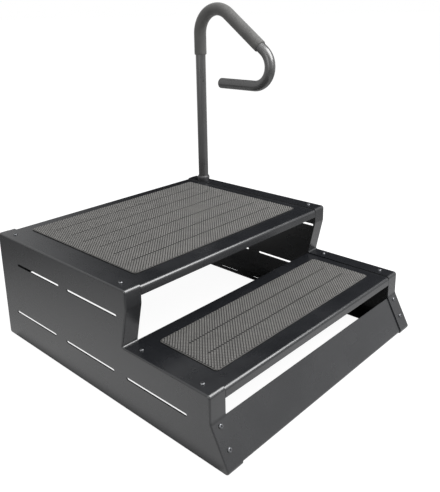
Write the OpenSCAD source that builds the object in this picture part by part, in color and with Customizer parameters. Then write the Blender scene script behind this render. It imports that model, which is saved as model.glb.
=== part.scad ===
// Two-tread entry step of folded aluminium sheet, with textured mats and a bent grab handle.
// The origin is on the ground at the centre of the footprint, +Z is up and the treads face -Y.

/* [Overall] */
// Width over the two side cheeks
step_w = 780; // [600:10:900]
// Depth from the rear edge to the rounded toe
step_d = 860; // [840:10:940]
// Height of the upper tread
upper_h = 310; // [280:5:380]
// Height of the lower tread
lower_h = 163; // [150:1:180]
// Depth of the upper tread, from the rear edge to its nose
upper_d = 560; // [530:10:580]
// How far the lower nose stands in front of the upper nose
lower_reach = 253; // [240:1:264]
// How far the riser falls back below the upper nose
riser_undercut = 23; // [12:1:28]

/* [Sheet] */
// Thickness of every folded sheet
sheet_t = 3; // [2:0.5:3]
// Width of the inward flange round each cheek
flange_w = 46; // [44:1:60]
// Width of the flange down the rear of each cheek
rear_flange_w = 28; // [24:1:32]
// Radius of the rounded noses
nose_r = 8; // [7:0.5:12]
// Radius of the rounded toe
toe_r = 8; // [6:1:14]
// Radius of the rear corners
rear_r = 8; // [7:0.5:12]
// Radius of the soft bends below the noses
bend_r = 20; // [12:1:30]
// Radius of the inside corner between riser and lower tread
inner_r = 4; // [3:0.5:7]
// Height of the upright front flange below the upper nose
upper_drop = 45; // [38:1:60]
// Height of the upright front flange below the lower nose
lower_drop = 63; // [50:1:70]
// Clearance between two lapped sheets
lap_gap = 0.2; // [0.1:0.1:0.5]
// Clearance at the side edges of the treads and panels
side_gap = 1; // [0.5:0.5:3]

/* [Side slots] */
// Length of a slot in the cheek
slot_l = 198; // [100:1:206]
// Height of a slot
slot_h = 7; // [4:0.5:9]
// Distance from one slot to the next in the upper row
upper_pitch = 234; // [214:1:240]
// Distance from one slot to the next in the lower row
lower_pitch = 244; // [214:1:246]
// Distance from the rear edge to the upper row
upper_start = 92; // [70:1:95]
// Distance from the rear edge to the lower row
lower_start = 59; // [50:1:62]
// Height of the upper row of slots
upper_row_z = 238; // [215:1:240]
// Height of the lower row of slots
lower_row_z = 87; // [70:1:100]
// Length of a slot in the bottom flange
foot_slot_l = 79; // [50:1:90]
// Width of a slot in the bottom flange
foot_slot_w = 6; // [4:0.5:8]
// Distance between the slots in the bottom flange
foot_slot_pitch = 148; // [110:1:156]

/* [Treads] */
// Height of the turned-down lip at a tread's nose
lip_h = 23; // [20:1:32]
// Height of the turned-down rear edge of the upper tread
upper_rear_lip = 46; // [44:1:60]
// Height of the turned-down rear edge of the lower tread
lower_rear_lip = 25; // [20:1:40]
// Distance from the screws to the nose, and to the riser's foot
screw_inset = 42; // [36:1:50]
// Distance from the rear screw to the rear edge
rear_screw_inset = 54; // [40:1:60]
// Height of the stiffening channels under the treads
channel_h = 25; // [15:1:26]
// Width of the stiffening channels
channel_w = 40; // [30:1:60]

/* [Mats] */
// Height of a mat above its tread
mat_t = 2.4; // [1.5:0.1:4]
// Distance from a mat to the outside of the cheek
mat_side = 76; // [60:1:100]
// Distance from the upper mat to the rear edge
upper_mat_rear = 46; // [30:1:80]
// Distance from the upper mat to its nose
upper_mat_nose = 56; // [40:1:70]
// Distance from the lower mat to its nose
lower_mat_nose = 51; // [40:1:60]
// Distance from the lower mat to the foot of the riser
lower_mat_rear = 40; // [36:1:60]
// Radius of the mat's corners
mat_r = 10; // [6:1:20]
// Width of the plain grooves in the mats
groove_w = 3; // [2:0.5:5]
// Number of grooves in the upper mat
upper_grooves = 6; // [1:1:8]
// Number of grooves in the lower mat
lower_grooves = 2; // [1:1:3]
// Distance from the groove's end to the mat's side
groove_inset = 43; // [20:1:80]

/* [Kick plate and rear brace] */
// Distance down the slope from the soft bend to the kick plate
kick_top = 3; // [3:1:16]
// How far the kick plate wraps round the toe, in degrees below the level
kick_wrap = 55; // [20:1:60]
// Height of the brace across the back
brace_h = 138; // [60:2:150]
// Width of the brace's turned lower edge
brace_lip = 20; // [12:1:30]

/* [Grab handle] */
// Outer diameter of the handle tube
tube_d = 33.7; // [25:0.1:36]
// Wall of the handle tube
tube_wall = 2.5; // [1.5:0.5:3]
// Distance from the post's axis to the outside of the cheek
post_side = 26; // [24:0.5:30]
// Distance from the post's axis to the rear edge
post_rear = 66; // [60:1:80]
// Height of the post's straight part above the ground
post_h = 819; // [700:1:900]
// Bend radius at the top of the handle
top_bend_r = 80; // [60:1:90]
// Fall of the handle's front run for each millimetre it goes forward
run_fall = 0.75; // [0.6:0.05:0.9]
// Length of the sloping run between the bends
run_l = 183; // [150:1:220]
// Bend radius at the front of the handle
front_bend_r = 62; // [50:1:80]
// Length of the handle's straight return
return_l = 139; // [60:1:150]
// Outer diameter of the foam grip
grip_d = 41; // [38:0.5:46]
// Length of the grip below the top bend
grip_down = 68; // [40:1:120]
// Length of the grip along the sloping run
grip_run = 165; // [120:1:170]
// Height of the collar at the post's foot
collar_h = 18; // [12:1:40]
// Wall of the collar where it is thickest
collar_wall = 4; // [3:0.5:6]
// Length of the post below the upper tread
post_tail = 120; // [80:5:140]

/* [Fasteners] */
// Diameter of the screws
screw_d = 6; // [5:1:8]
// Diameter of the button heads
head_d = 11; // [9:0.5:14]
// Height of the button heads
head_h = 3.4; // [2.5:0.1:5]
// Length of the screws under the head
screw_l = 16; // [14:1:24]
// Diameter of the countersunk heads' seats
sunk_d = 12.5; // [11:0.5:14]
// Clearance of a screw in its hole, on the diameter
hole_clear = 0.5; // [0.3:0.1:1]

/* [Hidden] */
$fn = 48;
eps = 0.01;

// Shared places, in the frame of the whole step
half_w = step_w / 2;
rear_y = step_d / 2;
toe_y = -step_d / 2;
upper_nose_y = rear_y - upper_d;
riser_y = upper_nose_y + riser_undercut;
lower_nose_y = upper_nose_y - lower_reach;
flange_mid = flange_w / 2;
inner_x = half_w - sheet_t;
bend_z = lower_h - lower_drop;

// The sloping front leans out so that it runs into the rounded toe
toe_c = [toe_y + toe_r, toe_r];
toe_vec = [lower_nose_y - toe_c[0], bend_z - toe_c[1]];
kick_lean = atan2(toe_vec[0], toe_vec[1]) + asin(toe_r / norm(toe_vec));
toe_corner_y = lower_nose_y - bend_z * tan(kick_lean);

// Outline of a cheek as [y, z, corner radius], anticlockwise seen from +X
cheek = [
    [rear_y, 0, rear_r], [rear_y, upper_h, rear_r], [upper_nose_y, upper_h, nose_r],
    [upper_nose_y, upper_h - upper_drop, bend_r], [riser_y, lower_h, inner_r],
    [lower_nose_y, lower_h, nose_r], [lower_nose_y, bend_z, bend_r], [toe_corner_y, 0, toe_r]
];

function flat(v) = [v[0], v[1]];
function unit(v) = v / norm(v);
function left_of(v) = [-v[1], v[0]];
function cross2(a, b) = a[0] * b[1] - a[1] * b[0];
function vertex(i) = flat(cheek[(i + len(cheek)) % len(cheek)]);
function dir_in(i) = unit(vertex(i) - vertex(i - 1));
function dir_out(i) = unit(vertex(i + 1) - vertex(i));
function radius(i) = cheek[(i + len(cheek)) % len(cheek)][2];
function is_convex(i) = cross2(dir_in(i), dir_out(i)) > 0;
function turn(i) = acos(dir_in(i) * dir_out(i));
function tangent_l(i) = radius(i) * tan(turn(i) / 2);
function arc_start(i) = vertex(i) - dir_in(i) * tangent_l(i);
function arc_end(i) = vertex(i) + dir_out(i) * tangent_l(i);
function arc_side(i) = is_convex(i) ? 1 : -1;
function arc_centre(i) = arc_start(i) + left_of(dir_in(i)) * radius(i) * arc_side(i);

// Mirrors a piece to the other side of the step
module on_side(side) {
    if (side < 0) children();
    else mirror([1, 0, 0]) children();
}

// Extrudes an outline drawn in Y and Z along +X
module along_x(length) {
    rotate([90, 0, 90]) linear_extrude(length) children();
}

// A cylinder along +X
module rod_x(d, length) {
    rotate([0, 90, 0]) cylinder(d = d, h = length);
}

// A slot with round ends, cut downwards, its long side along Y
module slot_z(length, width, depth) {
    translate([-width / 2, -length / 2 + width / 2, 0]) cube([width, length - width, depth]);
    for (s = [-1, 1])
        translate([0, s * (length - width) / 2, 0]) cylinder(d = width, h = depth);
}

// A slot with round ends through a cheek, its long side along Y
module slot_x(length, width, depth) {
    rotate([0, 90, 0]) slot_z(length, width, depth);
}

// Outline of a cheek, set in by d: round corners stay concentric
function corner_points(i, d) =
    let (
        c = arc_centre(i), v = arc_start(i) - c, a = atan2(v[1], v[0]),
        r = radius(i) - arc_side(i) * d, n = ceil(turn(i) / 11)
    )
    [for (k = [0:n]) c + r * [cos(a + arc_side(i) * turn(i) * k / n),
        sin(a + arc_side(i) * turn(i) * k / n)]];
function outline(d) = [for (i = [0:len(cheek) - 1]) for (p = corner_points(i, d)) p];

// Places along Y of the fastened corners of the treads
upper_screw_y = [rear_y - rear_screw_inset, upper_nose_y + screw_inset];
lower_screw_y = [riser_y - screw_inset, lower_nose_y + screw_inset];
hole_d = screw_d + hole_clear;

// Distances down the slope, from the soft bend, of the kick plate's screws
kick_screws_at = [kick_top + 12, kick_top + 62];
brace_screw_x = half_w - rear_flange_w + 13;
brace_screw_z = [upper_h - brace_h * 0.3, upper_h - brace_h * 0.75];
post_x = half_w - post_side;
post_y = rear_y - post_rear;
post_hole_d = tube_d + 1.3;

// A place on the sloping front: s down the slope from the bend, d inward from its face
module on_slope(x, s, d = 0) {
    translate([x, lower_nose_y, bend_z]) rotate([-kick_lean, 0, 0])
        translate([0, d, -s]) children();
}

// A hole down through a sheet at x, y
module hole_z(x, y, z, d = hole_d) {
    translate([x, y, z - 2 * sheet_t]) cylinder(d = d, h = 4 * sheet_t);
}

// Countersunk hole through one sheet, its mouth at the origin facing +Z
module sunk_hole() {
    translate([0, 0, -2 * sheet_t]) cylinder(d = hole_d, h = 2 * sheet_t);
    translate([0, 0, -sheet_t]) cylinder(d1 = hole_d, d2 = sunk_d, h = sheet_t);
    cylinder(d = sunk_d, h = 1);
}

// Countersunk screw, its head just below the face at the origin, shank down -Z
module sunk_screw(l = screw_l) {
    w = 4.2;
    sink = 0.2;
    difference() {
        translate([0, 0, -sheet_t]) cylinder(d1 = screw_d, d2 = sunk_d - 1, h = sheet_t - sink);
        translate([0, 0, -2]) linear_extrude(3)
            polygon([for (a = [0:60:300]) w / 2 / cos(30) * [cos(a), sin(a)]]);
    }
    translate([0, 0, -l]) cylinder(d = screw_d, h = l - sheet_t);
}

// One cheek: a pan with its face on the plane x = 0 and its flange towards +X
module cheek_body() {
    difference() {
        along_x(flange_w) polygon(outline(0));
        translate([sheet_t, 0, 0]) along_x(flange_w) polygon(outline(sheet_t));
        translate([rear_flange_w, rear_y - rear_r, -1]) cube([flange_w, rear_r + 1, upper_h + 2]);
        translate([2 * sheet_t, toe_c[0] + toe_r, -1]) cube([flange_w, 8, sheet_t + 2]);
    }
}

// The left cheek; the right one is its mirror image
module cheek_panel() {
    difference() {
        translate([-half_w, 0, 0]) cheek_body();
        for (k = [0, 1])
            translate([-half_w - eps, rear_y - upper_start - slot_l / 2 - k * upper_pitch,
                upper_row_z])
                slot_x(slot_l, slot_h, sheet_t + 2 * eps);
        for (k = [0:2])
            translate([-half_w - eps, rear_y - lower_start - slot_l / 2 - k * lower_pitch,
                lower_row_z])
                slot_x(slot_l, slot_h, sheet_t + 2 * eps);
        for (k = [0:3])
            translate([-half_w + flange_mid + 4, rear_y - 187 - k * foot_slot_pitch, -eps])
                slot_z(foot_slot_l, foot_slot_w, sheet_t + 2 * eps);
        for (y = upper_screw_y) hole_z(-half_w + flange_mid, y, upper_h);
        for (y = lower_screw_y) hole_z(-half_w + flange_mid, y, lower_h);
        for (s = kick_screws_at)
            on_slope(-half_w + flange_mid, s, -1) rotate([-90, 0, 0])
                cylinder(d = hole_d, h = sheet_t + 2);
        for (z = brace_screw_z)
            translate([-brace_screw_x, rear_y, z]) rotate([-90, 0, 0]) sunk_hole();
    }
}

module left_cheek() color("#24282f") cheek_panel();

module right_cheek() {
    color("#24282f") difference() {
        mirror([1, 0, 0]) cheek_panel();
        hole_z(post_x, post_y, upper_h, post_hole_d);
        for (s = [-1, 1])
            translate([half_w, post_y + s * bracket_half, bracket_hole_z])
                rotate([0, 90, 0]) sunk_hole();
    }
}

// Points along an arc, from angle a0 to a1
function arc(c, r, a0, a1, n = 8) =
    [for (i = [0:n]) c + r * [cos(a0 + (a1 - a0) * i / n), sin(a0 + (a1 - a0) * i / n)]];

// Section of a tread in Y and Z: a plate with both long edges turned down
tread_r = nose_r - sheet_t - lap_gap;
function tread_section(yr, yn, top, rear_lip, lip) = concat(
    [[yr, top - rear_lip]],
    arc([yr - tread_r, top - tread_r], tread_r, 0, 90),
    arc([yn + nose_r, top - nose_r], nose_r, 90, 180),
    [[yn, top - lip], [yn + sheet_t, top - lip]],
    arc([yn + nose_r, top - nose_r], nose_r - sheet_t, 180, 90),
    arc([yr - tread_r, top - tread_r], tread_r - sheet_t, 90, 0),
    [[yr - sheet_t, top - rear_lip]]
);
tread_half = inner_x - side_gap;
nose_half = half_w - flange_w - side_gap;
upper_top = upper_h - sheet_t;
lower_top = lower_h - sheet_t;
upper_rear_y = rear_y - 2 * sheet_t - lap_gap;
lower_rear_y = riser_y + 6;

// A tread: its nose stands between the flanges, and its ends lie flat under the strips
module tread(yr, yn, top, rear_lip) {
    translate([-nose_half, 0, 0]) along_x(2 * nose_half)
        polygon(tread_section(yr, yn, top, rear_lip, lip_h));
    ear = tread_half - nose_half;
    for (x = [-tread_half, nose_half]) {
        translate([x, yn + nose_r + 1, top - sheet_t])
            cube([ear, yr - tread_r - yn - nose_r - 1, sheet_t]);
        translate([x, yr - tread_r, top - tread_r]) rotate([90, 0, 90]) linear_extrude(ear)
            polygon(concat(arc([0, 0], tread_r, 0, 90), arc([0, 0], tread_r - sheet_t, 90, 0)));
        translate([x, yr - sheet_t, top - rear_lip]) cube([ear, sheet_t, rear_lip - tread_r]);
    }
}

module upper_tread() {
    color("#2b3038") difference() {
        tread(upper_rear_y, upper_nose_y, upper_top, upper_rear_lip);
        for (y = upper_screw_y, s = [-1, 1])
            if (s < 0 || y != upper_screw_y[0]) hole_z(s * (half_w - flange_mid), y, upper_top);
        hole_z(post_x, post_y, upper_top, post_hole_d);
        for (z = brace_screw_z, s = [-1, 1])
            translate([s * brace_screw_x, upper_rear_y - sheet_t - 1, z])
                rotate([-90, 0, 0]) cylinder(d = hole_d, h = sheet_t + 2);
    }
}

module lower_tread() {
    color("#2b3038") difference() {
        tread(lower_rear_y, lower_nose_y, lower_top, lower_rear_lip);
        for (y = lower_screw_y, s = [-1, 1])
            hole_z(s * (half_w - flange_mid), y, lower_top);
    }
}

// A plate with round corners between two corners of a rectangle
module round_plate(x0, y0, x1, y1, r, h) {
    translate([x0 + r, y0, 0]) cube([x1 - x0 - 2 * r, y1 - y0, h]);
    translate([x0, y0 + r, 0]) cube([x1 - x0, y1 - y0 - 2 * r, h]);
    for (x = [x0 + r, x1 - r], y = [y0 + r, y1 - r]) translate([x, y, 0]) cylinder(r = r, h = h);
}

// A mat on a tread, with n plain grooves from side to side
module mat(y0, y1, top, n) {
    pitch = (y1 - y0) / (n + 1);
    difference() {
        translate([0, 0, top])
            round_plate(-half_w + mat_side, y0, half_w - mat_side, y1, mat_r, mat_t);
        for (k = [1:n])
            translate([-half_w + mat_side + groove_inset, y0 + k * pitch - groove_w / 2,
                top + mat_t / 2])
                cube([step_w - 2 * (mat_side + groove_inset), groove_w, mat_t]);
    }
}

module upper_mat() {
    color("#7d8085") mat(upper_nose_y + upper_mat_nose, rear_y - upper_mat_rear, upper_top,
        upper_grooves);
}

module lower_mat() {
    color("#7d8085") mat(lower_nose_y + lower_mat_nose, riser_y - lower_mat_rear, lower_top,
        lower_grooves);
}

// Sloping plate behind the front flanges, its lower edge rolled round inside the toe
slope_dir = [-sin(kick_lean), -cos(kick_lean)];
slope_in = [cos(kick_lean), -sin(kick_lean)];
roll_c = toe_c - lap_gap * slope_in;
roll_r = toe_r - sheet_t - lap_gap;
module kick_plate() {
    top = [lower_nose_y, bend_z] + slope_dir * kick_top + slope_in * sheet_t;
    color("#262a31") difference() {
        translate([-tread_half, 0, 0]) along_x(2 * tread_half) polygon(concat(
            [top],
            arc(roll_c, roll_r, 180 - kick_lean, 180 + kick_wrap),
            arc(roll_c, roll_r - sheet_t, 180 + kick_wrap, 180 - kick_lean),
            [top + slope_in * sheet_t]
        ));
        for (s = kick_screws_at, x = [-1, 1])
            on_slope(x * (half_w - flange_mid), s, sheet_t - 1) rotate([-90, 0, 0])
                cylinder(d = hole_d, h = sheet_t + 2);
    }
}

// Upright plate across the back under the upper tread, its lower edge turned forward
module rear_brace() {
    y = rear_y - sheet_t;
    z = upper_h - brace_h;
    color("#24282f") {
        difference() {
            translate([-tread_half, y - sheet_t, z])
                cube([2 * tread_half, sheet_t, upper_top - tread_r - z]);
            for (zz = brace_screw_z, s = [-1, 1])
                translate([s * brace_screw_x, y - sheet_t - 1, zz])
                    rotate([-90, 0, 0]) cylinder(d = hole_d, h = sheet_t + 2);
        }
        translate([-half_w + 60, y - brace_lip, z])
            cube([step_w - 120, brace_lip - sheet_t, sheet_t]);
    }
}

// A channel under a tread, open side down
module channel(y, top) {
    l = step_w - 2 * flange_w - 30;
    translate([-l / 2, y, top]) along_x(l) polygon([
        [-channel_w / 2, -channel_h], [-channel_w / 2 + sheet_t, -channel_h],
        [-channel_w / 2 + sheet_t, -sheet_t], [channel_w / 2 - sheet_t, -sheet_t],
        [channel_w / 2 - sheet_t, -channel_h], [channel_w / 2, -channel_h],
        [channel_w / 2, 0], [-channel_w / 2, 0]
    ]);
}

module upper_stiffeners() {
    for (k = [-1, 1])
        color("#24282f") channel((rear_y + upper_nose_y) / 2 + k * upper_d / 6,
            upper_top - sheet_t);
}

module lower_stiffener() {
    color("#24282f") channel((riser_y + lower_nose_y) / 2, lower_top - sheet_t);
}

// Button-headed screw: underside of the head at the origin, shank down -Z
module button_screw(l = screw_l) {
    w = 4.2;
    difference() {
        rotate_extrude() polygon(concat(
            [[0, 0], [head_d / 2, 0], [head_d / 2, head_h * 0.25]],
            [for (a = [15:15:75])
                [head_d / 2 * (0.55 + 0.45 * cos(a)), head_h * (0.25 + 0.75 * sin(a))]],
            [[head_d / 2 * 0.5, head_h], [0, head_h]]
        ));
        translate([0, 0, head_h * 0.35]) linear_extrude(head_h)
            polygon([for (a = [0:60:300]) w / 2 / cos(30) * [cos(a), sin(a)]]);
    }
    translate([0, 0, -l]) cylinder(d = screw_d, h = l);
}

// Hexagon nut: top face at the origin, body down -Z, bored clear of the screw
module hex_nut() {
    w = 10;
    difference() {
        translate([0, 0, -5]) linear_extrude(5)
            polygon([for (a = [0:60:300]) w / 2 / cos(30) * [cos(a), sin(a)]]);
        translate([0, 0, -6]) cylinder(d = screw_d + 0.2, h = 7);
    }
}

// Places of the screws through the strips: the post takes the right rear one
module at_tread_screws(drop) {
    for (y = upper_screw_y, s = [-1, 1])
        if (s < 0 || y != upper_screw_y[0])
            translate([s * (half_w - flange_mid), y, upper_h - drop]) children();
    for (y = lower_screw_y, s = [-1, 1])
        translate([s * (half_w - flange_mid), y, lower_h - drop]) children();
}

module at_kick_screws(depth) {
    for (s = kick_screws_at, x = [-1, 1])
        on_slope(x * (half_w - flange_mid), s, depth) rotate([90, 0, 0]) children();
}

module at_brace_screws(depth) {
    for (z = brace_screw_z, s = [-1, 1])
        translate([s * brace_screw_x, rear_y - depth, z]) rotate([-90, 0, 0]) children();
}

module tread_screws() color("#3a3f46") at_tread_screws(0) button_screw();
module tread_nuts() color("#8e9296") at_tread_screws(2 * sheet_t) hex_nut();
module kick_screws() color("#3a3f46") at_kick_screws(0) button_screw();
module kick_nuts() color("#8e9296") at_kick_screws(2 * sheet_t) hex_nut();
module brace_screws() color("#3a3f46") at_brace_screws(0) sunk_screw();

// The upper brace screws also pass through the tread's rear lip
module brace_nuts() {
    color("#8e9296") for (k = [0, 1], s = [-1, 1])
        translate([s * brace_screw_x, rear_y - (k == 0 ? 3 * sheet_t + lap_gap : 2 * sheet_t),
            brace_screw_z[k]])
            rotate([-90, 0, 0]) hex_nut();
}

// Handle: its centre line lies in a plane across the step. Each frame below starts where the
// one before it ends, so that runs and bends meet face to face.
run_slope = atan(run_fall);

module ring(d, bore) {
    difference() {
        circle(d = d);
        circle(d = bore);
    }
}

// A straight run of tube from the origin along +Y
module run(l, d, bore) {
    rotate([-90, 0, 0]) linear_extrude(l) ring(d, bore);
}

// A bend about the origin, from the +X axis through an angle. Its last small part is drawn back
// from where the next frame starts, so that the two close exactly.
module bend_tube(r, angle, d, bore) {
    whole = floor(angle * 10) / 10;
    rest = angle - whole;
    rotate_extrude(angle = whole) translate([r, 0]) ring(d, bore);
    if (rest > 0.001) rotate([0, 0, angle]) rotate_extrude(start = -rest, angle = rest)
        translate([r, 0]) ring(d, bore);
}

// Frame of the top bend: its centre at the origin, the bend starting on the +X axis
module at_top_bend() {
    translate([post_x, post_y - top_bend_r, post_h]) rotate([90, 0, 90]) children();
}

// Frame at the end of the top bend, the same centre
module at_top_end() {
    at_top_bend() rotate([0, 0, 90 + run_slope]) children();
}

// Frame at the end of the front bend, about its centre
module at_front_end() {
    at_top_end() translate([top_bend_r - front_bend_r, run_l, 0])
        rotate([0, 0, 180 - run_slope]) children();
}

module post_and_top(down, along, d, bore) {
    at_top_bend() {
        translate([top_bend_r, -down, 0]) run(down, d, bore);
        bend_tube(top_bend_r, 90 + run_slope, d, bore);
    }
    at_top_end() translate([top_bend_r, 0, 0]) run(along, d, bore);
}

tube_bore = tube_d - 2 * tube_wall;
tube_foot = upper_h - post_tail;
module handle_tube() {
    color("#2b3038") {
        post_and_top(post_h - tube_foot, run_l, tube_d, tube_bore);
        at_top_end() translate([top_bend_r - front_bend_r, run_l, 0])
            bend_tube(front_bend_r, 180 - run_slope, tube_d, tube_bore);
        at_front_end() translate([front_bend_r, 0, 0]) run(return_l, tube_d, tube_bore);
    }
}

module foam_grip() {
    color("#17181a") post_and_top(grip_down, grip_run, grip_d, tube_d + 0.2);
}

// Rounded plug in the free end of the tube
module handle_end_cap() {
    r = tube_d / 2;
    q = 4;
    color("#17181a") at_front_end() translate([front_bend_r, return_l, 0])
        rotate([-90, 0, 0]) rotate_extrude() polygon(concat(
            [[0, -15], [tube_bore / 2 - 0.1, -15], [tube_bore / 2 - 0.1, 0], [r, 0]],
            arc([r - q, 2], q, 0, 90, 6),
            [[0, 2 + q]]
        ));
}

// Collar round the post where it passes into the strip, bulging at half its height
module post_collar() {
    bore = tube_d / 2 + 0.2;
    w = collar_wall;
    color("#17181a") translate([post_x, post_y, upper_h]) rotate_extrude() polygon([
        [bore, 0], [bore + w * 0.55, 0], [bore + w * 0.8, collar_h * 0.25],
        [bore + w, collar_h * 0.5], [bore + w, collar_h * 0.68], [bore + w * 0.8, collar_h * 0.84],
        [bore + w * 0.3, collar_h], [bore, collar_h]
    ]);
}

// Angle bracket under the post, screwed to the inside of the right cheek
bracket_half = 13;
bracket_leg = 40;
bracket_hole_z = tube_foot - 27;
module post_bracket() {
    w = 40;
    color("#24282f") difference() {
        union() {
            translate([post_x - 20, post_y - w / 2, tube_foot - sheet_t])
                cube([inner_x - post_x + 20, w, sheet_t]);
            translate([inner_x - sheet_t, post_y - w / 2, tube_foot - bracket_leg])
                cube([sheet_t, w, bracket_leg]);
        }
        hole_z(post_x, post_y, tube_foot);
        for (s = [-1, 1])
            translate([inner_x - sheet_t - 1, post_y + s * bracket_half, bracket_hole_z])
                rod_x(hole_d, sheet_t + 2);
    }
}

module bracket_screws() {
    color("#3a3f46") for (s = [-1, 1])
        translate([half_w, post_y + s * bracket_half, bracket_hole_z])
            rotate([0, 90, 0]) sunk_screw();
}

module bracket_nuts() {
    color("#8e9296") for (s = [-1, 1])
        translate([half_w - 2 * sheet_t, post_y + s * bracket_half, bracket_hole_z])
            rotate([0, 90, 0]) hex_nut();
}

// Threaded insert inside the post's foot, and the bolt up into it
module post_insert() {
    color("#8e9296") translate([post_x, post_y, tube_foot]) difference() {
        cylinder(d = tube_bore - 0.2, h = 18);
        translate([0, 0, -1]) cylinder(d = screw_d + 0.2, h = 20);
    }
}

module post_bolt() {
    color("#3a3f46") translate([post_x, post_y, tube_foot - sheet_t]) rotate([180, 0, 0])
        button_screw();
}

left_cheek();
right_cheek();
upper_tread();
lower_tread();
upper_mat();
lower_mat();
kick_plate();
rear_brace();
upper_stiffeners();
lower_stiffener();
tread_screws();
tread_nuts();
kick_screws();
kick_nuts();
brace_screws();
brace_nuts();
handle_tube();
foam_grip();
handle_end_cap();
post_collar();
post_bracket();
bracket_screws();
bracket_nuts();
post_insert();
post_bolt();
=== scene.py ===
"""Two-tread camper entry step: dark coated sheet, gritty mats and a bent grab handle.

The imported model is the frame. This script finishes its sheets, mats and handle, and sets the
camera, the lamps and the floor. Lengths are in metres.
"""

import math

import bmesh
import bpy
from mathutils import Matrix, Vector


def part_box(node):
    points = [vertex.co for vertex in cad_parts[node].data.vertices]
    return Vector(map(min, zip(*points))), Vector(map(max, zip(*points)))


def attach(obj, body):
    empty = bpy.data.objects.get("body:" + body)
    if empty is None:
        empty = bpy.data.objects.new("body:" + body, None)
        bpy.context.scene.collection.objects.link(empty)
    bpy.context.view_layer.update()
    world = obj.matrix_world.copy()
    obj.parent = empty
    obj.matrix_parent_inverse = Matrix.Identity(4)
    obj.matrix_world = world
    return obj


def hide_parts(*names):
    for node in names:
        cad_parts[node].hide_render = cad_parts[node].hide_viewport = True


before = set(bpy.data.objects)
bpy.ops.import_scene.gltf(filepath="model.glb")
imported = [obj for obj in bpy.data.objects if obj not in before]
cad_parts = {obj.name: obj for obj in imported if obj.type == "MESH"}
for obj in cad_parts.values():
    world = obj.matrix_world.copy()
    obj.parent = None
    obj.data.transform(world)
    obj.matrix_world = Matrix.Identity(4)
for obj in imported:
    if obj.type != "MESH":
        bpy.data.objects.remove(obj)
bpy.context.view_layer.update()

# Sizes of the step, as part.scad gives them
HALF_WIDTH = 0.390
SLOT_ROWS = (0.238, 0.087)
MAT_CORNER = 0.010
GROOVE_INSET = 0.043
UPPER_GROOVES = 6
LOWER_GROOVES = 2

# Sizes of the handle, as part.scad gives them
POST = Vector((0.364, 0.364, 0.0))
POST_FOOT_Z = 0.190
POST_TOP_Z = 0.819
TUBE_RADIUS = 0.01685
TOP_BEND = 0.080
FRONT_BEND = 0.062
RUN_SLOPE = math.atan(0.75)
RUN_LENGTH = 0.183
RETURN_LENGTH = 0.139
GRIP_RADIUS = 0.0205
GRIP_DOWN = 0.068
GRIP_ALONG = 0.165

# An edge belongs to a slot this near to a slot row's height, between these places along Y
SLOT_REACH = 0.0045
SLOTS_FROM, SLOTS_TO = -0.33, 0.38

# Roundings, studs and rims that this script adds; the studs and rims carry painted highlight
FOLD_ROUNDING = 0.004
CUT_EDGE = 0.0005
KICK_PLATE_EDGE = 0.0009
GRIP_END_ROUNDING = 0.0025
STUD_ROW_STEP = 0.0043
STUD_MARGIN = 0.0042
STUD_FOOT = 0.0031
STUD_TOP = 0.0023
STUD_HEIGHT = 0.0012
STUD_MIDDLE_OVER_MAT = 0.0005
GROOVE_END_MARGIN = 0.003
RIM_WIDTH = 0.0013

# Tolerances on the CAD meshes
MERGE_DISTANCE = 0.000002
FLAT_DEGREES = 0.4
TOUCHING = 0.0005

# Sockets of a colour Mix node, whose names are shared with its other kinds
MIX_COLOUR_A, MIX_COLOUR_B = 6, 7
MIX_COLOUR_RESULT = 2

PHOTO_HEIGHT = 492
SENSOR_WIDTH = 36.0


# Pieces


def add_piece(name, bm, material, sharp_degrees=32.0):
    """Turns a bmesh into an object that rides on the step."""
    mesh = bpy.data.meshes.new(name)
    bm.to_mesh(mesh)
    bm.free()
    for face in mesh.polygons:
        face.use_smooth = True
    mesh.set_sharp_from_angle(angle=math.radians(sharp_degrees))
    mesh.materials.append(material)
    piece = bpy.data.objects.new(name, mesh)
    bpy.context.scene.collection.objects.link(piece)
    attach(piece, "root")
    return piece


def copy_of_node(node):
    """A joined-up bmesh of a CAD node, its flat faces dissolved."""
    bm = bmesh.new()
    bm.from_mesh(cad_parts[node].data)
    bmesh.ops.remove_doubles(bm, verts=bm.verts, dist=MERGE_DISTANCE)
    bmesh.ops.dissolve_limit(
        bm, angle_limit=math.radians(FLAT_DEGREES), verts=bm.verts, edges=bm.edges, delimit=set()
    )
    return bm


def keep_faces_flat(piece):
    """Lets the large faces set the normals, so that they stay flat up to their eased edges."""
    weighted = piece.modifiers.new("flat_faces", "WEIGHTED_NORMAL")
    weighted.mode = "FACE_AREA"
    weighted.weight = 60
    weighted.keep_sharp = True


def sharp_edges(bm, degrees=35.0):
    limit = math.radians(degrees)
    return [e for e in bm.edges if len(e.link_faces) == 2 and e.calc_face_angle(0.0) > limit]


def ease_edges(bm, edges, width, segments=2):
    bmesh.ops.bevel(
        bm,
        geom=edges,
        offset=width,
        offset_type="OFFSET",
        affect="EDGES",
        segments=segments,
        profile=0.5,
        material=-1,
        clamp_overlap=True,
    )


# Shader nodes


def set_sockets(shader, **values):
    for name, value in values.items():
        shader.inputs[name.replace("_", " ")].default_value = value


def new_material(name):
    """A node material, with its node tree and its shader."""
    material = bpy.data.materials.new(name)
    material.use_nodes = True
    tree = material.node_tree
    return material, tree, tree.nodes["Principled BSDF"]


def object_coordinates(tree):
    return tree.nodes.new("ShaderNodeTexCoord").outputs["Object"]


def noise(tree, vector, scale, detail=2.0, roughness=0.5):
    node = tree.nodes.new("ShaderNodeTexNoise")
    node.inputs["Scale"].default_value = scale
    node.inputs["Detail"].default_value = detail
    node.inputs["Roughness"].default_value = roughness
    tree.links.new(vector, node.inputs["Vector"])
    return node.outputs["Fac"]


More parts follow.
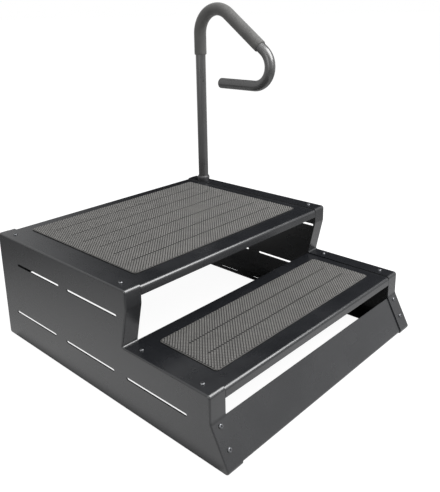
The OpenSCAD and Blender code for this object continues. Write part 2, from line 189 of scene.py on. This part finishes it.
def ramp(tree, value, stops):
    """Colour ramp with (position, colour) stops."""
    node = tree.nodes.new("ShaderNodeValToRGB")
    elements = node.color_ramp.elements
    for element, (position, colour) in zip(elements, stops):
        element.position = position
        element.color = (*colour, 1.0)
    tree.links.new(value, node.inputs["Fac"])
    return node.outputs["Color"]


def spread(tree, value, low, high, from_low=0.3, from_high=0.7):
    """Maps a value's range, by default that of most of a noise, to another."""
    node = tree.nodes.new("ShaderNodeMapRange")
    node.inputs["From Min"].default_value = from_low
    node.inputs["From Max"].default_value = from_high
    node.inputs["To Min"].default_value = low
    node.inputs["To Max"].default_value = high
    tree.links.new(value, node.inputs["Value"])
    return node.outputs["Result"]


def bump(tree, shader, height, distance, strength):
    node = tree.nodes.new("ShaderNodeBump")
    node.inputs["Distance"].default_value = distance
    node.inputs["Strength"].default_value = strength
    tree.links.new(height, node.inputs["Height"])
    tree.links.new(node.outputs["Normal"], shader.inputs["Normal"])


def math_node(tree, operation, first, second):
    """A Math node; each input is a socket or a number."""
    node = tree.nodes.new("ShaderNodeMath")
    node.operation = operation
    for place, value in enumerate((first, second)):
        if isinstance(value, (int, float)):
            node.inputs[place].default_value = value
        else:
            tree.links.new(value, node.inputs[place])
    return node.outputs["Value"]


# Materials


def powder_coat(name, tone, tint, shine, gloss):
    """Satin powder coat: a fine orange peel, and a slightly uneven gloss."""
    material, tree, shader = new_material(name)
    place = object_coordinates(tree)
    cloud = noise(tree, place, scale=9.0, detail=3.0, roughness=0.55)
    tree.links.new(ramp(tree, cloud, [(0.3, tone), (0.75, tint)]), shader.inputs["Base Color"])
    tree.links.new(spread(tree, cloud, shine - 0.03, shine + 0.05), shader.inputs["Roughness"])
    peel = noise(tree, place, scale=900.0)
    bump(tree, shader, peel, distance=0.00006, strength=0.5)
    set_sockets(shader, Specular_IOR_Level=gloss)
    return material


def mat_rubber():
    """Gritty rubber: pale with painted highlight where a vertex attribute marks studs and rim,
    dark with painted shade between.
    """
    material, tree, shader = new_material("mat_rubber")
    place = object_coordinates(tree)
    cloud = noise(tree, place, scale=40.0, detail=4.0, roughness=0.6)
    # Painted shade for the gaps between the studs, and painted highlight for the stud tops and
    # the rim
    dark = ramp(tree, cloud, [(0.3, (0.010, 0.0098, 0.0095)), (0.72, (0.014, 0.0137, 0.0132))])
    highlight_tone = ramp(tree, cloud, [(0.3, (0.100, 0.098, 0.094)), (0.72, (0.125, 0.122, 0.117))])
    painted_highlight = tree.nodes.new("ShaderNodeAttribute")
    painted_highlight.attribute_name = "painted_highlight"
    mix = tree.nodes.new("ShaderNodeMix")
    mix.data_type = "RGBA"
    tree.links.new(painted_highlight.outputs["Fac"], mix.inputs["Factor"])
    tree.links.new(dark, mix.inputs[MIX_COLOUR_A])
    tree.links.new(highlight_tone, mix.inputs[MIX_COLOUR_B])
    tree.links.new(mix.outputs[MIX_COLOUR_RESULT], shader.inputs["Base Color"])
    grit = noise(tree, place, scale=1600.0, roughness=0.6)
    bump(tree, shader, grit, distance=0.00025, strength=0.6)
    set_sockets(shader, Roughness=0.72, Specular_IOR_Level=0.35)
    return material


def grip_foam():
    """Closed-cell foam: matt, with fine cells."""
    material, tree, shader = new_material("grip_foam")
    place = object_coordinates(tree)
    cells = noise(tree, place, scale=1100.0, detail=3.0, roughness=0.65)
    cloud = noise(tree, place, scale=30.0)
    tree.links.new(
        ramp(tree, cloud, [(0.3, (0.034, 0.0335, 0.032)), (0.75, (0.048, 0.0475, 0.0455))]),
        shader.inputs["Base Color"],
    )
    bump(tree, shader, cells, distance=0.0004, strength=0.7)
    set_sockets(shader, Roughness=0.7, Sheen_Weight=0.15, Sheen_Roughness=0.5)
    return material


def cap_plastic():
    """Dark moulded plastic with a fine grain, for the tube's end cap and the post's collar."""
    material, tree, shader = new_material("cap_plastic")
    place = object_coordinates(tree)
    grain = noise(tree, place, scale=1400.0)
    cloud = noise(tree, place, scale=60.0)
    tree.links.new(
        ramp(tree, cloud, [(0.3, (0.02, 0.02, 0.021)), (0.75, (0.028, 0.028, 0.03))]),
        shader.inputs["Base Color"],
    )
    bump(tree, shader, grain, distance=0.0001, strength=0.5)
    set_sockets(shader, Roughness=0.42)
    return material


def screw_metal(name, dark, light, rough):
    """Plated steel with a faint grain."""
    material, tree, shader = new_material(name)
    place = object_coordinates(tree)
    cloud = noise(tree, place, scale=350.0, detail=3.0, roughness=0.6)
    tree.links.new(ramp(tree, cloud, [(0.3, dark), (0.75, light)]), shader.inputs["Base Color"])
    tree.links.new(spread(tree, cloud, rough - 0.05, rough + 0.08), shader.inputs["Roughness"])
    bump(tree, shader, noise(tree, place, scale=2200.0), distance=0.00005, strength=0.5)
    set_sockets(shader, Metallic=1.0)
    return material


SHEET = powder_coat(
    "coated_sheet", (0.0070, 0.0075, 0.0088), (0.0092, 0.0098, 0.0113), shine=0.25, gloss=0.72
)
TUBE = powder_coat(
    "coated_tube", (0.026, 0.026, 0.0263), (0.033, 0.033, 0.0333), shine=0.27, gloss=0.85
)
MAT = mat_rubber()
FOAM = grip_foam()
CAP = cap_plastic()
DARK_SCREW = screw_metal("dark_screw", (0.12, 0.123, 0.13), (0.18, 0.183, 0.19), rough=0.34)
ZINC = screw_metal("zinc", (0.5, 0.51, 0.54), (0.62, 0.63, 0.65), rough=0.36)


# Folded sheets


def is_outer_fold(edge):
    """An edge between a cheek's outer face and its flange, so not one of a slot or a hole."""
    flange, face = sorted(abs(face.normal.x) for face in edge.link_faces)
    middle = (edge.verts[0].co + edge.verts[1].co) / 2
    if face <= 0.99 or flange >= 0.02 or abs(middle.x) < HALF_WIDTH - TOUCHING:
        return False
    on_slot_row = min(abs(middle.z - row) for row in SLOT_ROWS) < SLOT_REACH
    return not (on_slot_row and SLOTS_FROM < middle.y < SLOTS_TO)


def finish_cheek(node):
    """A cheek with the outer bends of its folds."""
    bm = copy_of_node(node)
    fold = [e for e in bm.edges if len(e.link_faces) == 2 and is_outer_fold(e)]
    ease_edges(bm, fold, FOLD_ROUNDING, segments=5)
    piece = add_piece(node + "_sheet", bm, SHEET, sharp_degrees=28.0)
    keep_faces_flat(piece)
    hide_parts(node)


def finish_sheet(node, width=CUT_EDGE):
    """A flat or folded sheet with its cut edges just eased."""
    bm = copy_of_node(node)
    ease_edges(bm, sharp_edges(bm), width)
    piece = add_piece(node + "_sheet", bm, SHEET, sharp_degrees=50.0)
    keep_faces_flat(piece)
    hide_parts(node)


# Mats


def painted_highlight_rim(bm, low, high):
    """Marks the rim of the mat, where its top meets its side, for painted highlight, in a new
    vertex attribute.
    """
    painted_highlight = bm.verts.layers.float.new("painted_highlight")
    top = [
        f for f in bm.faces
        if f.normal.z > 0.99 and f.calc_center_median().z > high.z - 0.0002
    ]
    ring = bmesh.ops.inset_region(
        bm, faces=top, thickness=RIM_WIDTH, use_even_offset=True, use_boundary=True
    )["faces"]
    inner = {v for face in top for v in face.verts}
    for v in {v for face in ring for v in face.verts} - inner:
        place = v.co
        to_side = min(place.x - low.x, high.x - place.x, place.y - low.y, high.y - place.y)
        if to_side < MAT_CORNER:
            v[painted_highlight] = 1.0


def repeat(bm, shapes, step):
    """Copies some of the loose shapes of a row, moved by a step; each shape is its vertices."""
    verts = [v for shape in shapes for v in shape]
    geom = (
        verts
        + list({edge for v in verts for edge in v.link_edges})
        + list({face for v in verts for face in v.link_faces})
    )
    made = bmesh.ops.duplicate(bm, geom=geom)
    fresh = [made["vert_map"][v] for v in verts]
    bmesh.ops.translate(bm, verts=fresh, vec=step)
    size = len(shapes[0])
    return [fresh[k : k + size] for k in range(0, len(fresh), size)]


def raised_studs(bm, low, high, grooves):
    """Small square studs on the mat's top, set cornerwise, with none on its grooves; each is
    marked for painted highlight.
    """
    between = (high.y - low.y) / (grooves + 1)
    rows_between = round(between / STUD_ROW_STEP)
    rows = rows_between * (grooves + 1)
    step = between / rows_between
    painted_highlight = bm.verts.layers.float["painted_highlight"]
    middle = (low.x + high.x) / 2
    half = (high.x - low.x) / 2 - STUD_MARGIN
    first_row = rows_between // 2
    base = {}
    for row in (first_row, first_row + 1):
        shift = step * (row % 2)
        place = (middle + shift, low.y + row * step, high.z + STUD_MIDDLE_OVER_MAT)
        stud = bmesh.ops.create_cone(
            bm, cap_ends=True, segments=4, radius1=STUD_FOOT, radius2=STUD_TOP,
            depth=STUD_HEIGHT, matrix=Matrix.Translation(place),
        )["verts"]
        for v in stud:
            v[painted_highlight] = 1.0
        shapes = [stud]
        for side in (-1, 1):
            count = int((half - side * shift) / (2 * step))
            for k in range(1, count + 1):
                shapes += repeat(bm, [stud], Vector((side * k * 2 * step, 0, 0)))
        base[row % 2] = (row, shapes)
    for row in range(1, rows):
        start, shapes = base[row % 2]
        to_edge = min(row, rows - row) * step
        if row == start or to_edge < STUD_MARGIN:
            continue
        short = max(MAT_CORNER - to_edge, 0.0)
        reach = half - (MAT_CORNER - math.sqrt(MAT_CORNER**2 - short**2))
        on_groove = row % rows_between == 0
        groove_end = half + STUD_MARGIN - GROOVE_INSET + GROOVE_END_MARGIN
        clear = groove_end if on_groove else -1.0
        chosen = [
            shape for shape in shapes
            if clear < abs(sum(v.co.x for v in shape) / len(shape) - middle) <= reach
        ]
        repeat(bm, chosen, Vector((0, (row - start) * step, 0)))


def finish_mat(node, grooves):
    low, high = (Vector(corner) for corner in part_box(node))
    bm = copy_of_node(node)
    ease_edges(bm, sharp_edges(bm), CUT_EDGE)
    painted_highlight_rim(bm, low, high)
    raised_studs(bm, low, high, grooves)
    piece = add_piece(node + "_rubber", bm, MAT, sharp_degrees=40.0)
    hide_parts(node)


# Handle


def edges_of(geom):
    return [g for g in geom if isinstance(g, bmesh.types.BMEdge)]


def pull(bm, ring, direction, length, parts):
    """Draws a ring of edges out straight, and gives the ring at its end."""
    for _ in range(parts):
        geom = bmesh.ops.extrude_edge_only(bm, edges=ring)["geom"]
        verts = [g for g in geom if isinstance(g, bmesh.types.BMVert)]
        bmesh.ops.translate(bm, verts=verts, vec=direction * (length / parts))
        ring = [e for e in edges_of(geom) if all(v in verts for v in e.verts)]
    return ring


def turn(bm, ring, centre, angle, steps):
    """Draws a ring of edges round a bend, and gives the ring at its end."""
    verts = list({v for e in ring for v in e.verts})
    last = bmesh.ops.spin(
        bm, geom=verts + ring, cent=centre, axis=(1, 0, 0), dvec=(0, 0, 0),
        angle=angle, steps=steps, use_merge=False, use_duplicate=False,
    )["geom_last"]
    return edges_of(last)


def round_bar(radius, start_z, along, with_return):
    """A round bar swept up the post, over the top bend and on along the handle."""
    bm = bmesh.new()
    verts = bmesh.ops.create_circle(
        bm, segments=48, radius=radius,
        matrix=Matrix.Translation((POST.x, POST.y, start_z)),
    )["verts"]
    ring = list({e for v in verts for e in v.link_edges})
    ring = pull(bm, ring, Vector((0, 0, 1)), POST_TOP_Z - start_z, parts=6)
    centre = Vector((POST.x, POST.y - TOP_BEND, POST_TOP_Z))
    ring = turn(bm, ring, centre, math.pi / 2 + RUN_SLOPE, steps=28)
    slope = Vector((0, -math.cos(RUN_SLOPE), -math.sin(RUN_SLOPE)))
    ring = pull(bm, ring, slope, along, parts=3)
    if with_return:
        outward = Vector((0, -math.sin(RUN_SLOPE), math.cos(RUN_SLOPE)))
        end = centre + TOP_BEND * outward + along * slope
        front = end - FRONT_BEND * outward
        ring = turn(bm, ring, front, math.pi - RUN_SLOPE, steps=30)
        ring = pull(bm, ring, Vector((0, 1, 0)), RETURN_LENGTH, parts=3)
    bmesh.ops.contextual_create(bm, geom=ring)
    bottom = [e for e in bm.edges if e.is_boundary]
    bmesh.ops.contextual_create(bm, geom=bottom)
    bmesh.ops.recalc_face_normals(bm, faces=bm.faces)
    return bm


def finish_handle():
    bm = round_bar(TUBE_RADIUS, POST_FOOT_Z, RUN_LENGTH, with_return=True)
    tube = add_piece("handle_tube_bent", bm, TUBE)
    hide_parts("handle_tube")
    bm = round_bar(GRIP_RADIUS, POST_TOP_Z - GRIP_DOWN, GRIP_ALONG, with_return=False)
    ease_edges(bm, sharp_edges(bm, 60.0), GRIP_END_ROUNDING, segments=4)
    grip = add_piece("foam_grip_sleeve", bm, FOAM, sharp_degrees=60.0)
    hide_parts("foam_grip")


# The step

for cheek in ("left_cheek", "right_cheek"):
    finish_cheek(cheek)
for sheet in ("upper_tread", "lower_tread", "rear_brace", "upper_stiffeners",
              "lower_stiffener", "post_bracket"):
    finish_sheet(sheet)
finish_sheet("kick_plate", KICK_PLATE_EDGE)
finish_mat("upper_mat", UPPER_GROOVES)
finish_mat("lower_mat", LOWER_GROOVES)
finish_handle()

# Nodes that stay as they are, with their materials
KEPT = {
    "tread_screws": DARK_SCREW, "kick_screws": DARK_SCREW, "brace_screws": DARK_SCREW,
    "bracket_screws": DARK_SCREW, "tread_nuts": ZINC, "kick_nuts": ZINC, "brace_nuts": ZINC,
    "bracket_nuts": ZINC, "post_insert": ZINC, "post_bolt": ZINC, "handle_end_cap": CAP,
    "post_collar": CAP,
}
for node, material in KEPT.items():
    for material_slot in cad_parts[node].material_slots:
        material_slot.material = material


# Floor, world and lamps


def seen_directly(tree, rays):
    """1 for a ray from the camera, or one that comes through something clear."""
    return math_node(
        tree, "MAXIMUM", rays.outputs["Is Camera Ray"], rays.outputs["Is Transmission Ray"]
    )


def floor_painted_reflection(tree):
    """How much the floor shows in the coat, as painted reflection.

    It carries a painted shadow under the step and is bright beside it, its painted light dims
    with distance, and it is bright again far off, where it meets the white of the world.
    """
    place = object_coordinates(tree)
    length = tree.nodes.new("ShaderNodeVectorMath")
    length.operation = "LENGTH"
    tree.links.new(place, length.inputs[0])
    distance = length.outputs["Value"]
    across = tree.nodes.new("ShaderNodeSeparateXYZ")
    tree.links.new(place, across.inputs["Vector"])
    from_middle = math_node(
        tree, "MAXIMUM", math_node(tree, "ABSOLUTE", across.outputs["X"], 0.0),
        math_node(tree, "ABSOLUTE", across.outputs["Y"], 0.0),
    )
    # Painted shadow under the step for reflections: dark inside the step's footprint, bright
    # beside it
    beside = spread(tree, from_middle, 0.08, 0.95, from_low=0.385, from_high=0.415)
    near = spread(tree, distance, 0.95, 0.08, from_low=0.5, from_high=1.25)
    far_off = spread(tree, distance, 0.0, 0.95, from_low=1.6, from_high=4.5)
    return math_node(tree, "MAXIMUM", math_node(tree, "MINIMUM", beside, near), far_off)


def pale_floor(radius=90.0, seen_strength=1.12, seen_share=0.84):
    """White paper that keeps a soft shadow.

    seen_share of what a camera or a reflection gets of it is light of its own, the rest is lit.
    """
    bm = bmesh.new()
    bmesh.ops.create_circle(bm, cap_ends=True, segments=96, radius=radius)
    mesh = bpy.data.meshes.new("studio_floor")
    bm.to_mesh(mesh)
    bm.free()
    floor = bpy.data.objects.new("studio_floor", mesh)
    bpy.context.scene.collection.objects.link(floor)
    material, tree, shader = new_material("floor_white")
    set_sockets(shader, Base_Color=(0.86, 0.86, 0.86, 1.0), Roughness=0.9, Specular_IOR_Level=0.1)
    rays = tree.nodes.new("ShaderNodeLightPath")
    seen = seen_directly(tree, rays)
    glossy = rays.outputs["Is Glossy Ray"]
    # Reflections see the floor's painted reflection, with its painted shadow under the step
    reflected = math_node(tree, "MULTIPLY", glossy, floor_painted_reflection(tree))
    paper = tree.nodes.new("ShaderNodeEmission")
    tree.links.new(
        math_node(tree, "MAXIMUM", math_node(tree, "MULTIPLY", seen, seen_strength), reflected),
        paper.inputs["Strength"],
    )
    share = math_node(tree, "MULTIPLY", math_node(tree, "MAXIMUM", seen, glossy), seen_share)
    mix = tree.nodes.new("ShaderNodeMixShader")
    tree.links.new(share, mix.inputs["Fac"])
    tree.links.new(shader.outputs["BSDF"], mix.inputs[1])
    tree.links.new(paper.outputs["Emission"], mix.inputs[2])
    tree.links.new(mix.outputs["Shader"], tree.nodes["Material Output"].inputs["Surface"])
    mesh.materials.append(material)


def white_world(flag_direction, fill_strength):
    """White where it is seen. Reflections show it too, with a dark flag behind the step."""
    world = bpy.data.worlds.new("studio")
    bpy.context.scene.world = world
    world.use_nodes = True
    tree = world.node_tree
    rays = tree.nodes.new("ShaderNodeLightPath")
    direction = tree.nodes.new("ShaderNodeTexCoord")
    toward = tree.nodes.new("ShaderNodeVectorMath")
    toward.operation = "DOT_PRODUCT"
    tree.links.new(direction.outputs["Generated"], toward.inputs[0])
    toward.inputs[1].default_value = flag_direction.normalized()
    off_flag = spread(tree, toward.outputs["Value"], 0.9, 0.01, from_low=0.78, from_high=0.91)
    reflected = math_node(tree, "MULTIPLY", rays.outputs["Is Glossy Ray"], off_flag)
    fill = math_node(tree, "MULTIPLY", rays.outputs["Is Diffuse Ray"], fill_strength)
    strength = math_node(tree, "MAXIMUM", seen_directly(tree, rays), reflected)
    backdrop = tree.nodes["Background"]
    backdrop.inputs["Color"].default_value = (1, 1, 1, 1)
    tree.links.new(math_node(tree, "MAXIMUM", strength, fill), backdrop.inputs["Strength"])


def soft_lamp(name, place, aim, size, power):
    light = bpy.data.lights.new(name, "AREA")
    light.shape = "RECTANGLE"
    light.size, light.size_y = size
    light.energy = power
    lamp = bpy.data.objects.new(name, light)
    lamp.location = place
    direction = Vector(aim) - Vector(place)
    lamp.rotation_euler = direction.to_track_quat("-Z", "Y").to_euler()
    bpy.context.scene.collection.objects.link(lamp)


pale_floor()
white_world(flag_direction=Vector((0.85, 0.45, 0.30)), fill_strength=0.55)
soft_lamp("lamp_over", place=(-0.6, -0.4, 3.0), aim=(0, 0, 0.2), size=(2.6, 2.6), power=34)
soft_lamp("lamp_front", place=(0.9, -3.2, 1.7), aim=(0, 0, 0.3), size=(0.9, 2.0), power=20)
soft_lamp("lamp_left", place=(-3.0, -0.2, 1.4), aim=(0, 0, 0.3), size=(1.8, 1.8), power=24)
soft_lamp(
    "lamp_noses", place=(1.0, -1.15, 2.05), aim=(1.0, -0.15, 0.3), size=(1.8, 1.8), power=105
)


# Camera


def place_camera(place, azimuth, down, roll, focal_pixels, centre_row):
    """The camera stands where the photograph's vanishing lines put it; angles in degrees."""
    azimuth, down, roll = (math.radians(v) for v in (azimuth, down, roll))
    forward = Vector((
        -math.sin(azimuth) * math.cos(down), math.cos(azimuth) * math.cos(down), -math.sin(down)
    ))
    level = Vector((math.cos(azimuth), math.sin(azimuth), 0))
    upright = level.cross(forward)
    right = math.cos(roll) * level + math.sin(roll) * upright
    up = -math.sin(roll) * level + math.cos(roll) * upright
    data = bpy.data.cameras.new("camera")
    data.sensor_width = SENSOR_WIDTH
    data.lens = focal_pixels / PHOTO_HEIGHT * SENSOR_WIDTH
    data.shift_y = -(PHOTO_HEIGHT / 2 - centre_row) / PHOTO_HEIGHT
    camera = bpy.data.objects.new("camera", data)
    facing = Matrix((right, up, -forward)).transposed().to_4x4()
    camera.matrix_world = Matrix.Translation(place) @ facing
    bpy.context.scene.collection.objects.link(camera)
    bpy.context.scene.camera = camera


place_camera(
    place=(-1.11318, -1.09779, 0.89580), azimuth=-46.905, down=16.232, roll=-0.992,
    focal_pixels=599.652, centre_row=184.396,
)
bpy.context.scene.view_settings.view_transform = "Standard"
